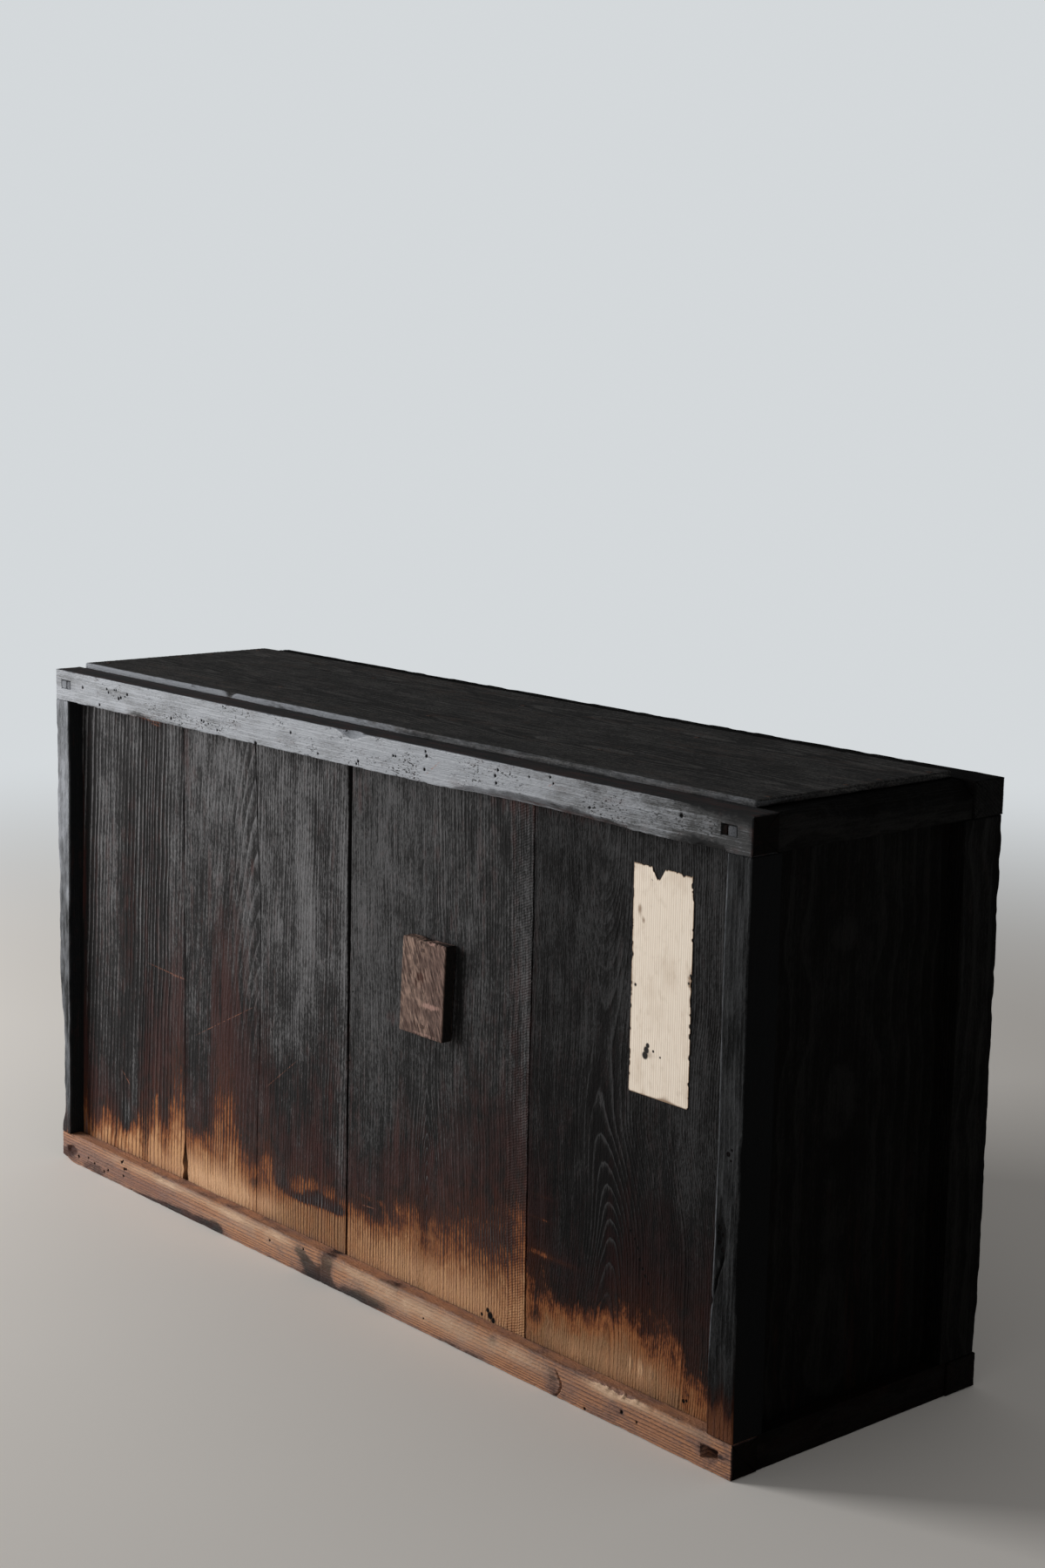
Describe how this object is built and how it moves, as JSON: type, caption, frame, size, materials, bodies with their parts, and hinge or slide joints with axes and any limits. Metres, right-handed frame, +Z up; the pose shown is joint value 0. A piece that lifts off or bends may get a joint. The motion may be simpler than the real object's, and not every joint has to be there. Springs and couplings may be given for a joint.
{
  "type": "storage chest",
  "caption": "Low wide free-standing storage chest of smoke-blackened cedar boards in a joined frame, with a lift-out door board.",
  "frame": {"origin": "middle of the footprint, on the floor", "axes": "+X to the right seen from the front, along the long side; the front faces -Y; +Z up"},
  "size_m": [1.515, 0.448, 0.808],
  "materials": {
    "front_boards": "smoke-blackened cedar with raised grain, bare tan wood near the sill",
    "frame_wood": "hand-worn silver-grey wood with worm holes",
    "sill_wood": "worn pinkish brown wood with soot stains",
    "top_boards": "dark grey-brown boards with a silvery worn edge",
    "side_wood": "nearly black smoked wood, brown along the foot",
    "inner_wood": "plain sawn wood darkened by age",
    "pull_wood": "worn pinkish brown wood",
    "wrought_iron": "rusted wrought iron",
    "aged_paper": "bare aged paper"
  },
  "bodies": {
    "carcass": {"front_top_rail": "frame_wood", "front_sill": "sill_wood", "back_top_rail": "side_wood", "back_bottom_rail": "side_wood", "front_post_left": "frame_wood", "front_post_right": "frame_wood", "back_post_left": "side_wood", "back_post_right": "side_wood", "side_top_rail_left": "side_wood", "side_top_rail_right": "side_wood", "side_bottom_rail_left": "side_wood", "side_bottom_rail_right": "side_wood", "tenon_wedges": "frame_wood", "front_board_1": "front_boards", "front_board_2": "front_boards", "front_board_3": "front_boards", "front_board_4": "front_boards", "side_board_left": "side_wood", "side_board_right": "side_wood", "back_board_1": "side_wood", "back_board_2": "side_wood", "back_board_3": "side_wood", "back_board_4": "side_wood", "top_bearer_1": "inner_wood", "top_bearer_2": "inner_wood", "top_bearer_3": "inner_wood", "top_board_front": "top_boards", "top_board_back": "top_boards", "top_nails": "wrought_iron", "floor_bearer_1": "inner_wood", "floor_bearer_2": "inner_wood", "floor_bearer_3": "inner_wood", "floor_bearer_4": "inner_wood", "floor_board_front": "inner_wood", "floor_board_back": "inner_wood", "paper_slip": "aged_paper"},
    "door": {"door_board": "front_boards", "door_batten_lower": "inner_wood", "door_batten_upper": "inner_wood", "pull_block": "pull_wood", "pull_nails": "wrought_iron"}
  },
  "joints": [
    {"name": "door_lift", "type": "slide", "parent": "carcass", "child": "door", "axis": [0, 0, 1], "range_m": [0, 0.0087]}
  ]
}
